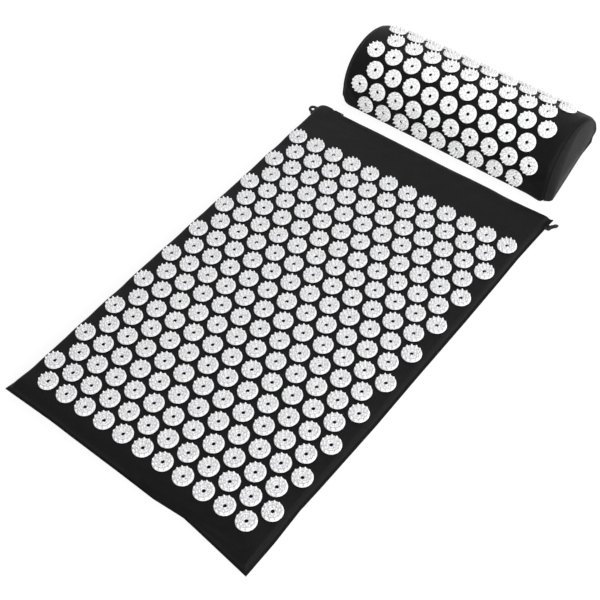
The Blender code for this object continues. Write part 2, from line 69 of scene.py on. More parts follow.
# Sizes that the CAD source gives, in metres
SEAT_GAP = 0.0003
CLOTH = 0.001
DISC_RADIUS = 0.0131
DISC_PLATE = 0.0012
DISC_SPIKE = 0.004
DISC_PITCH = 0.0323
DISC_ROW_PITCH = 0.0275
MAT_HALF_X = 0.200
MAT_HALF_Y = 0.3205
MAT_TOP = 0.0226
MAT_SEAM = 0.0095
MAT_FLANGE = 0.0025
MAT_SIDE_ROLL = 0.0065
MAT_FOOT_ROLL = 0.020
MAT_HEAD_ROLL = 0.016
MAT_HEAD_WALL = 0.3
PILLOW_X = -0.011
PILLOW_Y = 0.4295
PILLOW_AXIS = 0.014
PILLOW_RADIUS = 0.0705
LEG_ANGLE = radians(169.2)
PILLOW_HALF = 0.179
END_RADIUS = 0.010
BASE_CORNER = 0.0025
SEAM_ANGLE = radians(45)
PILLOW_FIRST_ROW = radians(177.8)
PILLOW_DISC_X = -0.0134
ZIP_OPENING = 0.010
PILLOW_ZIP_HEIGHT = 0.0085
SEAM_HALF = SEAT_GAP / 2 + CLOTH
PILLOW_PLACE = np.array((PILLOW_X, PILLOW_Y, 0))

# Far below any length here, so that a division by a length of zero stays in bounds
TINY = SEAT_GAP * SEAT_GAP

# The camera that fits the disc centres of the photograph, with its frame taken as 600 by 600
PHOTO = 600
FOCAL_PX = 1206.7
AZIMUTH = radians(41.717)
ELEVATION = radians(51.651)
ROLL = radians(4.286)
AIM_PX = (280.193, 307.997)
AIM = Vector((0, -0.0215, 0.024))
AIM_DISTANCE = 1.5589
SENSOR = 36


def ease(value, low, high):
    """Goes smoothly from 0 at low to 1 at high."""
    t = np.clip((value - low) / (high - low), 0, 1)
    return t * t * (3 - 2 * t)


def on_circle(radius, angle):
    return radius * cos(angle), radius * sin(angle)


def drawn_in(radius, angle):
    """How far a rounded edge draws in at this angle, along its two directions."""
    return radius * (1 - sin(angle)), radius * (1 - cos(angle))


NOISE_SHIFT = (7.3, -3.1, 1.7)


def perlin(points, scale, seed):
    """Smooth noise from -1 to 1 at each point."""
    shift = Vector([seed * step for step in NOISE_SHIFT])
    flat = points.reshape(-1, 3)
    values = [noise.noise(Vector(p) / scale + shift) for p in flat]
    return np.array(values).reshape(points.shape[:-1])


# Materials


class Graph:
    """A material's nodes, added one by one, with a Principled BSDF at the end."""

    def __init__(self, name, colour, roughness, **sockets):
        self.material = bpy.data.materials.new(name)
        self.material.use_nodes = True
        self.tree = self.material.node_tree
        self.shader = self.tree.nodes["Principled BSDF"]
        self.set(self.shader, {"Base Color": (*colour, 1), "Roughness": roughness})
        self.set(self.shader, {key.replace("_", " "): value for key, value in sockets.items()})
        self.material.diffuse_color = (*colour, 1)

    def set(self, node, inputs):
        for name, value in inputs.items():
            if isinstance(value, bpy.types.NodeSocket):
                self.tree.links.new(value, node.inputs[name])
            else:
                node.inputs[name].default_value = value

    def add(self, kind, inputs=None, **settings):
        node = self.tree.nodes.new(kind)
        for name, value in settings.items():
            setattr(node, name, value)
        self.set(node, inputs or {})
        return node

    def maths(self, operation, first, second=0.0, third=0.0):
        inputs = {0: first, 1: second, 2: third}
        return self.add("ShaderNodeMath", inputs, operation=operation).outputs[0]

    def noise(self, vector, scale, detail=2.0):
        inputs = {"Vector": vector, "Scale": scale, "Detail": detail}
        return self.add("ShaderNodeTexNoise", inputs).outputs["Fac"]

    def wave(self, value, turns):
        return self.maths("SINE", self.maths("MULTIPLY", value, turns))

    def spread(self, value, low, high):
        """Maps 0 to 1 onto low to high."""
        return self.maths("MULTIPLY_ADD", value, high - low, low)

    def roughen(self, value, low, high):
        self.set(self.shader, {"Roughness": self.spread(value, low, high)})

    def tint(self, value, dark, light):
        mix = self.add("ShaderNodeMix", data_type="RGBA")
        factor, first, second = (socket for socket in mix.inputs if socket.enabled)
        self.tree.links.new(value, factor)
        first.default_value = (*dark, 1)
        second.default_value = (*light, 1)
        colour = next(socket for socket in mix.outputs if socket.enabled)
        self.set(self.shader, {"Base Color": colour})

    def bump(self, height, strength, distance, normal=None):
        inputs = {"Height": height, "Strength": strength, "Distance": distance}
        if normal:
            inputs["Normal"] = normal
        output = self.add("ShaderNodeBump", inputs).outputs["Normal"]
        self.set(self.shader, {"Normal": output})
        return output

    def place(self):
        return self.add("ShaderNodeTexCoord").outputs["Object"]


def cloth_directions(graph, lay):
    """The two directions in which the threads run, in metres along the cloth."""
    split = graph.add("ShaderNodeSeparateXYZ", {0: graph.place()})
    x, y, z = split.outputs
    if lay == "flat":
        return x, y
    if lay == "end":
        return y, z
    over = graph.maths("SUBTRACT", y, PILLOW_Y)
    up = graph.maths("SUBTRACT", z, PILLOW_AXIS)
    angle = graph.maths("ARCTAN2", up, over)
    return x, graph.maths("MULTIPLY", angle, PILLOW_RADIUS)


CLOTH_THREAD = 0.00045
SLUB_SCALE = (90, 900, 1)
PATCH_SCALE = 28.0
CREASE_SCALE = 160.0
CREASE_DEPTH = 0.0006
WEAVE_DEPTH = 0.00022


def woven_material(name, lay, dark, light, shine):
    """Plain-woven cloth: threads that pass over and under each other, with slubs and faint wear."""
    sheen = {"Sheen_Weight": 0.02, "Sheen_Roughness": 0.45, "Sheen_Tint": (0.75, 0.76, 0.8, 1)}
    graph = Graph(name, dark, 0.46, Specular_IOR_Level=shine, **sheen)
    u, v = cloth_directions(graph, lay)
    along = graph.add("ShaderNodeCombineXYZ", {0: u, 1: v}).outputs[0]
    turns = pi / CLOTH_THREAD
    warp, weft = (graph.maths("ABSOLUTE", graph.wave(way, turns)) for way in (u, v))
    checks = {"Vector": along, "Scale": 1 / CLOTH_THREAD}
    over = graph.add("ShaderNodeTexChecker", checks).outputs["Fac"]
    rest = graph.maths("SUBTRACT", 1.0, over)
    weave = graph.maths(
        "ADD", graph.maths("MULTIPLY", warp, over), graph.maths("MULTIPLY", weft, rest)
    )
    slub_place = {"Vector": along, "Scale": SLUB_SCALE}
    slubs = graph.noise(graph.add("ShaderNodeMapping", slub_place).outputs[0], 1.0)
    patches = graph.noise(graph.place(), PATCH_SCALE, 4.0)
    tone = graph.maths("ADD", graph.spread(patches, 0.0, 0.6), graph.spread(slubs, -0.25, 0.35))
    tone = graph.maths("MULTIPLY", tone, graph.spread(weave, 0.55, 1.0))
    graph.tint(tone, dark, light)
    graph.roughen(patches, 0.40, 0.52)
    height = graph.maths("ADD", weave, graph.maths("MULTIPLY", slubs, 0.8))
    soft = graph.bump(graph.noise(graph.place(), CREASE_SCALE, 3.0), 0.18, CREASE_DEPTH)
    graph.bump(height, 0.35, WEAVE_DEPTH, soft)
    return graph.material


# Grain of the other materials: its scale, per metre, and its depth
FLOW_SCALE = 35.0
PLASTIC_SCALE = 900.0
PLASTIC_DEPTH = 0.0002
ENAMEL_SCALE = 700.0
ENAMEL_DEPTH = 0.0001
NYLON_SCALE = 2500.0
CORD_SCALE = 3000.0
FIBRE_DEPTH = 0.0002
RIB_TURNS = 9000.0
PICK_TURNS = 7000.0
TAPE_DEPTH = 0.0002
PORE_SCALE = 900.0
FINE_PORE_SCALE = 2200.0
PORE_DEPTH = 0.0006


def plastic_material(name, dark, light):
    """Moulded white plastic with a soft gloss and a faint flow pattern."""
    graph = Graph(name, light, 0.42, Specular_IOR_Level=0.45)
    graph.tint(graph.noise(graph.place(), FLOW_SCALE, 3.0), dark, light)
    grain = graph.noise(graph.place(), PLASTIC_SCALE)
    graph.roughen(grain, 0.34, 0.5)
    graph.bump(grain, 0.08, PLASTIC_DEPTH)
    return graph.material


def metal_material():
    """Black enamel on the zip's metal, rubbed a little at random."""
    looks = {"Coat_Weight": 0.08, "Coat_Roughness": 0.35, "Specular_IOR_Level": 0.3}
    graph = Graph("zip_enamel", (0.012, 0.012, 0.013), 0.5, **looks)
    rubbed = graph.noise(graph.place(), ENAMEL_SCALE, 4.0)
    graph.tint(rubbed, (0.007, 0.007, 0.0075), (0.026, 0.026, 0.028))
    graph.roughen(rubbed, 0.38, 0.62)
    graph.bump(rubbed, 0.15, ENAMEL_DEPTH)
    return graph.material


def thread_material(name, dark, light, scale):
    """Twisted fibre, for cord and the zip's coil."""
    graph = Graph(name, dark, 0.62, Sheen_Weight=0.05, Specular_IOR_Level=0.2)
    fibres = graph.noise(graph.place(), scale, 3.0)
    graph.tint(fibres, dark, light)
    graph.roughen(fibres, 0.5, 0.75)
    graph.bump(fibres, 0.3, FIBRE_DEPTH)
    return graph.material


def tape_material():
    """The zip's woven tape, with ribs along it."""
    graph = Graph("zip_tape", (0.012, 0.012, 0.013), 0.8, Sheen_Weight=0.15)
    x, _, z = graph.add("ShaderNodeSeparateXYZ", {0: graph.place()}).outputs
    weave = graph.maths("MULTIPLY", graph.wave(z, RIB_TURNS), graph.wave(x, PICK_TURNS))
    graph.tint(graph.spread(weave, 0.4, 0.6), (0.008, 0.008, 0.009), (0.024, 0.024, 0.026))
    graph.bump(weave, 0.35, TAPE_DEPTH)
    return graph.material


def foam_material():
    """Open-cell foam: cream, with pores of two sizes."""
    graph = Graph("foam_core", (0.72, 0.66, 0.50), 0.92)
    place = graph.place()
    cells = {"Vector": place, "Scale": PORE_SCALE}
    coarse = graph.add("ShaderNodeTexVoronoi", cells).outputs["Distance"]
    fine = graph.noise(place, FINE_PORE_SCALE)
    pores = graph.maths("ADD", coarse, graph.maths("MULTIPLY", fine, 0.5))
    graph.tint(pores, (0.60, 0.54, 0.40), (0.78, 0.72, 0.58))
    graph.bump(pores, 0.5, PORE_DEPTH)
    return graph.material


black = (0.0026, 0.0026, 0.0027), (0.0066, 0.0066, 0.0068)
# Painted light: the end panels are the same black cloth as the rest, tinted lighter to stand in for
# the light that falls on the pillow's right end
end_painted_light = (0.014, 0.014, 0.014), (0.030, 0.030, 0.030)
nylon = (0.010, 0.010, 0.011), (0.030, 0.030, 0.032)
cotton = (0.005, 0.005, 0.0055), (0.014, 0.014, 0.015)
cloth_flat = woven_material("mat_cloth", "flat", *black, 0.077)
cloth_round = woven_material("pillow_cloth", "round", *black, 0.074)
# The end panels take the lighter tones above, which are painted light and not a different cloth
cloth_end = woven_material("pillow_end_cloth", "end", *end_painted_light, 0.02)
disc_plastic = plastic_material("disc_plastic", (0.75, 0.75, 0.76), (0.80, 0.80, 0.81))
# Painted light: the pillow's discs are the same plastic as the mat's, made lighter to stand in for
# the brighter light on the pillow
pillow_plastic = plastic_material("pillow_disc_plastic", (0.885, 0.885, 0.89), (0.915, 0.915, 0.92))
zip_enamel = metal_material()
zip_nylon = thread_material("zip_coil_nylon", *nylon, NYLON_SCALE)
cord_fibre = thread_material("cord_fibre", *cotton, CORD_SCALE)
zip_cloth = tape_material()
foam = foam_material()


# Meshes


def add_object(name, data):
    obj = bpy.data.objects.new(name, data)
    scene.collection.objects.link(obj)
    return obj


def mesh_object(name, points, faces, material):
    mesh = bpy.data.meshes.new(name)
    mesh.from_pydata([tuple(p) for p in np.asarray(points).reshape(-1, 3)], [], faces)
    mesh.shade_smooth()
    mesh.materials.append(material)
    return add_object(name, mesh)


def face_outwards(obj):
    """Points every face of a closed mesh away from its inside."""
    bm = bmesh.new()
    bm.from_mesh(obj.data)
    bmesh.ops.recalc_face_normals(bm, faces=bm.faces)
    bm.to_mesh(obj.data)
    bm.free()


def grid_faces(rows, columns, first=0, flip=False, closed=False):
    """Faces of a grid of points that are listed row by row; closed joins the ends of each row."""
    faces = []
    for j in range(rows - 1):
        for i in range(columns if closed else columns - 1):
            a = first + j * columns + i
            b = first + j * columns + (i + 1) % columns
            face = (a, b, b + columns, a + columns)
            faces.append(face[::-1] if flip else face)
    return faces


def fan_faces(first, count, tip, flip=False):
    """Triangles from a closed ring of count points to one tip."""
    faces = [(first + i, first + (i + 1) % count, tip) for i in range(count)]
    return [face[::-1] for face in faces] if flip else faces


def add_piece(obj, body, node):
    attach(obj, body)
    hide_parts(node)


def thicken(obj, thickness):
    """Gives an open surface its thickness, inwards from its outer face."""
    modifier = obj.modifiers.new("thickness", "SOLIDIFY")
    modifier.thickness = thickness
    modifier.offset = -1


def cloth_panel(name, points, faces, material, body, node):
    """One panel of a cloth cover, from its outer face."""
    obj = mesh_object(name, points, faces, material)
    thicken(obj, CLOTH)
    add_piece(obj, body, node)
    return obj


def tube(path, radius_at, sides):
    """Points and faces of a tube along a path, whose radius is a function of (point, side)."""
    ahead = np.roll(path, -1, 0) - np.roll(path, 1, 0)
    ahead[0] = path[1] - path[0]
    ahead[-1] = path[-1] - path[-2]
    ahead /= np.linalg.norm(ahead, axis=1)[:, None]
    side_way = np.cross(ahead[0], (0, 0, 1))
    points = []
    for k in range(len(path)):
        side_way = side_way - ahead[k] * np.dot(side_way, ahead[k])
        side_way /= np.linalg.norm(side_way)
        up_way = np.cross(ahead[k], side_way)
        for s in range(sides):
            angle = 2 * pi * s / sides
            out = cos(angle) * side_way + sin(angle) * up_way
            points.append(path[k] + radius_at(k, s) * out)
    faces = grid_faces(len(path), sides, closed=True)
    faces.append(tuple(range(sides))[::-1])
    faces.append(tuple(range(len(points) - sides, len(points))))
    return np.array(points), faces


def joined(parts):
    """One list of points and one of faces from several (points, faces)."""
    points, faces, first = [], [], 0
    for part_points, part_faces in parts:
        points.append(np.asarray(part_points, float).reshape(-1, 3))
        faces += [tuple(first + v for v in face) for face in part_faces]
        first += len(points[-1])
    return np.concatenate(points), faces


# Discs


def revolved(profile, segments):
    """A closed profile of (radius, height) turned about Z."""
    points = []
    for k in range(segments):
        angle = 2 * pi * k / segments
        points += [(*on_circle(r, angle), z) for r, z in profile]
    count = len(profile)
    faces = []
    for k in range(segments):
        ahead = (k + 1) % segments
        for i in range(count):
            j = (i + 1) % count
            faces.append((k * count + j, ahead * count + j, ahead * count + i, k * count + i))
    return points, faces


DISC_HOLE = 0.0024
DISC_SEGMENTS = 40
PLATE_ROUND = 0.0003
RING_HEIGHT = 0.0008
RING_HALF_WIDTH = 0.0006
RINGS = (0.0033, 0.0064, 0.0098)
SPIKE_SEGMENTS = 8
SPIKE_SUNK = 0.0004
DISC_TURN = radians(14)
DISC_TILT = radians(0.7)
DISC_SHARP = radians(50)

# Radius, number of spikes, turn in spikes, and share of a spike's full radius
SPIKE_RINGS = ((0.0048, 6, 0.0, 0.7), (0.0081, 9, 0.2, 0.7), (0.0116, 12, 0.1, 1.0))

# Radius, and share of the height
SPIKE_PROFILE = ((0.00150, 0.0), (0.00138, 0.08), (0.00122, 0.45), (0.00098, 0.84), (0.00062, 0.97))


def disc_parts():
    """The plate with its centre hole and low rings, and its 27 spikes, as one list of parts."""
    top = DISC_PLATE
    profile = [(DISC_HOLE, 0), (DISC_HOLE, top - PLATE_ROUND), (DISC_HOLE + PLATE_ROUND, top)]
    for radius in RINGS:
        profile += [(radius - RING_HALF_WIDTH, top), (radius, top + RING_HEIGHT)]
        profile.append((radius + RING_HALF_WIDTH, top))
    edge = DISC_RADIUS - PLATE_ROUND
    profile += [(edge, top), (DISC_RADIUS, top - PLATE_ROUND), (DISC_RADIUS, PLATE_ROUND), (edge, 0)]
    parts = [revolved(profile, DISC_SEGMENTS)]
    for ring_radius, count, turn, stout in SPIKE_RINGS:
        for k in range(count):
            parts.append(spike(*on_circle(ring_radius, 2 * pi * (k + turn) / count), stout))
    return joined(parts)


def spike(x, y, stout):
    """A cone with slightly hollow sides and a blunt tip, closed where it is sunk in the plate."""
    rings = [(SPIKE_PROFILE[0][0] * stout, -SPIKE_SUNK)]
    rings += [(radius * stout, share * DISC_SPIKE) for radius, share in SPIKE_PROFILE]
    points = []
    for radius, height in rings:
        for s in range(SPIKE_SEGMENTS):
            dx, dy = on_circle(radius, 2 * pi * s / SPIKE_SEGMENTS)
            points.append((x + dx, y + dy, DISC_PLATE + height))
    faces = [tuple(range(SPIKE_SEGMENTS))[::-1]]
    faces += grid_faces(len(rings), SPIKE_SEGMENTS, closed=True)
    faces += fan_faces(len(points) - SPIKE_SEGMENTS, SPIKE_SEGMENTS, len(points))
    points.append((x, y, DISC_PLATE + DISC_SPIKE))
    return points, faces


disc_points, disc_faces = disc_parts()


def add_disc_row(node, matrix, material, body):
    """One row of discs, each turned at random and tilted a little. Returns their centres."""
    low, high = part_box(node)
    count = round((high.x - low.x - 2 * DISC_RADIUS) / DISC_PITCH) + 1
    parts = []
    centres = []
    for i in range(count):
        along = (i - (count - 1) / 2) * DISC_PITCH
        turn, tilt_x, tilt_y = (
            Matrix.Rotation(rng.uniform(-most, most), 4, axis)
            for most, axis in ((DISC_TURN, "Z"), (DISC_TILT, "X"), (DISC_TILT, "Y"))
        )
        place = np.array(matrix @ Matrix.Translation((along, 0, 0)) @ tilt_x @ tilt_y @ turn)
        parts.append((disc_points @ place[:3, :3].T + place[:3, 3], disc_faces))
        centres.append(np.array(matrix @ Vector((along, 0, 0))))
    points, faces = joined(parts)
    obj = mesh_object(node.replace("disc_row", "discs"), points, faces, material)
    obj.data.set_sharp_from_angle(angle=DISC_SHARP)
    add_piece(obj, body, node)
    return centres


mat_disc_centres = []
for node in sorted(n for n in nodes if n.startswith("mat_disc_row_")):
    low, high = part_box(node)
    place = Matrix.Translation(((low.x + high.x) / 2, (low.y + high.y) / 2, low.z))
    mat_disc_centres += add_disc_row(node, place, disc_plastic, "mat")

pillow_disc_centres = []
pillow_disc_normals = []
row_angle_step = DISC_ROW_PITCH / (PILLOW_RADIUS - CLOTH)
reach = PILLOW_RADIUS + SEAT_GAP
for k, node in enumerate(sorted(n for n in nodes if n.startswith("pillow_disc_row_"))):
    turn = PILLOW_FIRST_ROW - k * row_angle_step
    angle = min(turn, LEG_ANGLE)
    down_leg = reach * (turn - angle)
    place = Matrix.Translation(
        (
            PILLOW_DISC_X,
            PILLOW_Y + reach * cos(angle) - down_leg * sin(angle),
            PILLOW_AXIS + reach * sin(angle) + down_leg * cos(angle),
        )
    ) @ Matrix.Rotation(angle - pi / 2, 4, "X")
    centres = add_disc_row(node, place, pillow_plastic, "pillow")
    pillow_disc_centres += centres
    pillow_disc_normals += [(0, *on_circle(1, angle))] * len(centres)
mat_disc_centres = np.array(mat_disc_centres)
pillow_disc_centres = np.array(pillow_disc_centres)
pillow_disc_normals = np.array(pillow_disc_normals)


def nearest(points, centres):
    """Distance of each point from the nearest of the centres."""
    flat = points.reshape(-1, 3)
    best = np.full(len(flat), np.inf)
    for centre in centres:
        best = np.minimum(best, np.linalg.norm(flat - centre, axis=1))
    return best.reshape(points.shape[:-1])


CLOTH_FRAMES = 20
CLOTH_QUALITY = 6
CLOTH_MASS = 0.15
CLOTH_BENDING = 0.2
CLOTH_PRESSURE = 4.0
CLOTH_TRAVEL = 0.003
CLOTH_INWARD = 0.0004


def vertex_values(obj, name):
    values = np.empty((len(obj.data.vertices), 3), np.float32)
    obj.data.vertices.foreach_get(name, values.reshape(-1))
    return values


def settle(points, held, surplus, flip=False):
    """Lets cloth that is sewn and glued at its held places billow out in a short simulation."""
    faces = grid_faces(*points.shape[:2], flip=flip)
    obj = mesh_object("settling_cloth", points, faces, cloth_flat)
    group = obj.vertex_groups.new(name="held")
    for index, weight in enumerate(held.reshape(-1)):
        if weight > 0:
            group.add([index], float(weight), "REPLACE")
    modifier = obj.modifiers.new("cloth", "CLOTH")
    cloth = modifier.settings
    cloth.quality = CLOTH_QUALITY
    cloth.mass = CLOTH_MASS
    cloth.bending_stiffness = CLOTH_BENDING
    cloth.use_pressure = True
    cloth.uniform_pressure_force = CLOTH_PRESSURE
    cloth.shrink_min = -surplus
    cloth.effector_weights.gravity = 0
    cloth.vertex_group_mass = "held"
    for frame_number in range(1, CLOTH_FRAMES + 1):
        scene.frame_set(frame_number)
    settled = obj.evaluated_get(bpy.context.evaluated_depsgraph_get())
    travel = vertex_values(settled, "co") - points.reshape(-1, 3)
    normals = vertex_values(obj, "normal")
    scene.frame_set(1)
    bpy.data.objects.remove(obj)
    length = np.linalg.norm(travel, axis=1, keepdims=True) + TINY
    travel *= CLOTH_TRAVEL * np.tanh(length / CLOTH_TRAVEL) / length
    outward = (travel * normals).sum(1, keepdims=True)
    travel += (np.maximum(outward, -CLOTH_INWARD) - outward) * normals
    return points + travel.reshape(points.shape)


# Mat cover

GRID_STEP = 0.004
ROLL_STEPS = 8
MAT_HEAD_TOP_ROLL = 0.019
MAT_HEAD_TOP_WALL = 0.03
FLANGE_RISE = 0.01
ZIP_CLOSE = 0.006


def edge_line(flange, roll, wall_share):
    """(inset from the seam, share of the rise) from a seam to the flat of its panel."""
    line = [(0.0, 0.0)]
    if flange:
        line += [(flange / 2, 0.0), (flange, FLANGE_RISE)]
    if wall_share:
        line += [(flange, wall_share / 2), (flange, wall_share)]
    for k in range(1, ROLL_STEPS + 1):
        angle = pi / 2 * k / ROLL_STEPS
        rise = wall_share + (1 - wall_share) * sin(angle)
        line.append((flange + roll * (1 - cos(angle)), rise))
    return line


def across(low_edge, high_edge, half):
    low = [(-half + inset, rise) for inset, rise in low_edge]
    high = [(half - inset, rise) for inset, rise in reversed(high_edge)]
    span = high[0][0] - low[-1][0]
    count = round(span / GRID_STEP)
    inner = [(low[-1][0] + span * k / count, 1.0) for k in range(1, count)]
    places, rises = zip(*(low + inner + high))
    return np.array(places), np.array(rises)


def past_zip(prefix, x):
    """0 beside the zip's tapes, and up to 1 past their ends, where the opening closes."""
    low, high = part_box(f"{prefix}_zip_tape_upper")
    return np.clip((np.abs(x) - (high.x - low.x) / 2) / ZIP_CLOSE, 0, 1)


side_edge = edge_line(MAT_FLANGE, MAT_SIDE_ROLL, 0.0)
foot_edge = edge_line(MAT_FLANGE, MAT_FOOT_ROLL, 0.0)
head_edge = edge_line(0.0, MAT_HEAD_ROLL, MAT_HEAD_WALL)
head_top_edge = edge_line(0.0, MAT_HEAD_TOP_ROLL, MAT_HEAD_TOP_WALL)
mat_x, mat_rise_x = across(side_edge, side_edge, MAT_HALF_X)

# Places along the head edge, and how far it stands out there
HEAD_EDGE_REACH = 0.030
HEAD_EDGE_X = (
    -0.200, -0.186, -0.178, -0.168, -0.155, -0.125, -0.095, -0.060,
    0.010, 0.035, 0.065, 0.105, 0.125, 0.150, 0.172, 0.190, 0.200,
)
HEAD_EDGE_OUT = (
    0.0006, 0.0050, 0.0044, -0.0020, -0.0040, -0.0026, -0.0004, 0.0002,
    -0.0018, -0.0010, 0.0016, 0.0014, -0.0009, 0.0012, 0.0030, 0.0030, 0.0046,
)

# The foot, right and left edges: axis across each, its sign there, half the size, reach of the
# move, places along the edge, and how far it stands out there
EDGES = (
    (
        1, -1, MAT_HALF_Y, 0.045,
        (-0.200, -0.125, -0.090, 0.000, 0.050, 0.095, 0.120, 0.160, 0.200),
        (-0.0022, -0.0029, -0.0020, -0.0005, 0.0008, -0.0021, 0.0008, 0.0056, 0.0104),
    ),
    (
        0, 1, MAT_HALF_X, 0.020,
        (-0.320, -0.280, -0.230, -0.190, -0.085, 0.000, 0.110, 0.190, 0.240, 0.300),
        (-0.0005, -0.0006, -0.0030, -0.0019, -0.0006, -0.0014, -0.0015, -0.0025, -0.0036, -0.0026),
    ),
    (
        0, -1, MAT_HALF_X, 0.020,
        (-0.320, -0.280, -0.200, -0.060, 0.060, 0.120, 0.200, 0.300),
        (-0.0004, -0.0010, 0.0008, 0.0004, -0.0004, -0.0014, -0.0004, -0.0010),
    ),
)

# Signs of X and Y at each corner, its sharpness, and how far it moves
CORNERS = (
    (-1, -1, 9, (-0.0065, 0.0, 0.0)),
    (-1, 1, 22, (-0.0060, -0.0045, 0.0)),
    (1, 1, 36, (0.0030, 0.0, 0.0054)),
)


def mat_outline(points):
    """Moves the cover's edges to the outline that the cloth takes by itself."""
    at = points.copy()
    for axis, sign, half, reach, places, out in EDGES:
        edge = ease(sign * at[..., axis], half - reach, half)
        points[..., axis] += sign * edge * np.interp(at[..., 1 - axis], places, out)
    for sign_x, sign_y, sharpness, move in CORNERS:
        share = np.clip(sign_y * at[..., 1], 0, None) / MAT_HALF_Y
        share *= np.clip(sign_x * at[..., 0], 0, None) / MAT_HALF_X
        points += share[..., None] ** sharpness * np.array(move)
    return points


ZIP_EDGE = MAT_SEAM + ZIP_OPENING / 2
ZIP_RISE = 0.004

# Shares of the head edge's uneven line: how far it swells at the zip, sinks back and sinks down
SWELL_AT_ZIP = 0.3
SINK_BACK = 0.4
SINK_DOWN = 0.5


def above_zip(points):
    """0 on the edge beside the zip, where the slider passes, and 1 on the rest of the panel."""
    head = ease(points[..., 1], MAT_HALF_Y - MAT_HEAD_ROLL, MAT_HALF_Y)
    return 1 - head * (1 - ease(points[..., 2], ZIP_EDGE, ZIP_EDGE + ZIP_RISE))


def top_head_outline(points):
    """Lets the top panel swell and sink along the head edge, where the zip holds it loosely."""
    x, y = points[..., 0], points[..., 1]
    out = np.interp(x, HEAD_EDGE_X, HEAD_EDGE_OUT)
    head = ease(y, MAT_HALF_Y - HEAD_EDGE_REACH, MAT_HALF_Y)
    over_zip = ease(points[..., 2], ZIP_EDGE, MAT_TOP)
    free = above_zip(points)
    swell = SWELL_AT_ZIP + (1 - SWELL_AT_ZIP) * over_zip
    points[..., 1] = y + head * np.where(out > 0, out * swell, out * SINK_BACK * free)
    points[..., 2] += head * np.minimum(out, 0) * SINK_DOWN * free
    return points


def mat_panel(side, mat_y, mat_rise_y):
    """Outer surface of one panel: side is 1 for the top and -1 for the bottom."""
    x, y = np.meshgrid(mat_x, mat_y)
    rise = mat_rise_x[None, :] * mat_rise_y[:, None]
    gap = np.full_like(x, SEAM_HALF)
    head = y > MAT_HALF_Y - MAT_HEAD_ROLL
    gap[head] = ZIP_OPENING / 2 + (SEAM_HALF - ZIP_OPENING / 2) * past_zip("mat", x[head])
    edge = MAT_SEAM + side * gap
    full = MAT_TOP if side > 0 else 0.0
    z = edge + (full - edge) * rise
    return mat_outline(np.stack([x, y, z], -1))


DIP_DEPTH = 0.0005
DIP_LEVEL = 0.006
DIP_RING = (DISC_RADIUS, DISC_RADIUS + 0.004)
BARE_RING = (DISC_RADIUS + 0.003, DISC_RADIUS + 0.016)
BARE_SINK = 0.0008

# Height, size and seed of the unevenness in the bare bands
UNEVEN = ((0.0012, 0.05, 1), (0.0005, 0.017, 2))


def relax_top(points):
    """Lets the cloth dip between the discs and lie unevenly where it is bare."""
    clear = nearest(points, mat_disc_seats)
    level = ease(points[..., 2], MAT_TOP - DIP_LEVEL, MAT_TOP)
    dip = ease(clear, *DIP_RING)
    points[..., 2] -= DIP_DEPTH * dip * level
    bare = ease(clear, *BARE_RING)
    uneven = sum(height * perlin(points, size, seed) for height, size, seed in UNEVEN)
    points[..., 2] += bare * (uneven - BARE_SINK) * above_zip(points)
    return points


# Fold lines in the top panel: (x, y) along each, its depth and its width
FOLDS = (
    (
        ((0.010, -0.3150), (0.042, -0.3150), (0.072, -0.3125),
         (0.105, -0.3095), (0.135, -0.3070), (0.158, -0.3040)),
        0.0052, 0.0060,
    ),
    (((0.152, -0.3130), (0.164, -0.3085), (0.177, -0.3035)), 0.0030, 0.0030),
    (((0.164, -0.3195), (0.178, -0.3135), (0.192, -0.3075)), 0.0036, 0.0032),
    (((-0.186, 0.2930), (-0.160, 0.2960), (-0.120, 0.2940)), 0.0007, 0.0080),
    (((0.150, 0.3080), (0.172, 0.3020), (0.188, 0.2900)), 0.0009, 0.0050),
)
FOLD_FADE = 0.016
FOLD_END = 0.25
FOLD_FLOOR = MAT_SEAM + 2 * SEAM_HALF
FOLD_RISE = 0.0035


def fold_top(points):
    """Presses the fold lines into the bare bands of the top panel."""
    flat = points[..., :2]
    for line, depth, width in FOLDS:
        line = np.array(line)
        near = np.full(flat.shape[:-1], np.inf)
        for a, b in zip(line[:-1], line[1:]):
            along = np.clip(((flat - a) @ (b - a)) / ((b - a) @ (b - a)), 0, 1)
            near = np.minimum(near, np.linalg.norm(flat - a - along[..., None] * (b - a), axis=-1))
        ends = np.minimum(*(np.linalg.norm(flat - end, axis=-1) for end in (line[0], line[-1])))
        fade = FOLD_END + (1 - FOLD_END) * ease(ends, 0, FOLD_FADE)
        press = depth * np.exp(-((near / width) ** 2)) * fade
        points[..., 2] -= press * ease(points[..., 2], FOLD_FLOOR, FOLD_FLOOR + FOLD_RISE)
    return points


HELD_RING = (DISC_RADIUS + 0.001, DISC_RADIUS + 0.005)


def held_places(panel, centres, low, high):
    """1 where a grid of cloth is sewn, glued to a disc or below low, and 0 where it is free."""
    held = np.zeros(panel.shape[:2])
    held[:2] = held[-2:] = 1
    held[:, :2] = held[:, -2:] = 1
    clear = nearest(panel, centres)
    held = np.maximum(held, 1 - ease(clear, *HELD_RING))
    return np.maximum(held, 1 - ease(panel[..., 2], low, high))


MAT_SURPLUS = 0.004
MAT_HELD_BELOW = 0.008
mat_disc_seats = mat_disc_centres - np.array((0, 0, SEAT_GAP))

top_y, top_rise_y = across(foot_edge, head_top_edge, MAT_HALF_Y)
bottom_y, bottom_rise_y = across(foot_edge, head_edge, MAT_HALF_Y)
mat_top = top_head_outline(mat_panel(1, top_y, top_rise_y))
held = held_places(mat_top, mat_disc_seats, MAT_SEAM + SEAM_HALF, MAT_SEAM + MAT_HELD_BELOW)
mat_top = fold_top(relax_top(settle(mat_top, held, MAT_SURPLUS)))
mat_bottom = mat_panel(-1, bottom_y, bottom_rise_y)
for name, points, flip in (("top", mat_top, False), ("bottom", mat_bottom, True)):
    faces = grid_faces(*points.shape[:2], flip=flip)
    piece = cloth_panel(f"mat_cloth_{name}", points, faces, cloth_flat, "mat", f"mat_cover_{name}")


# Cores


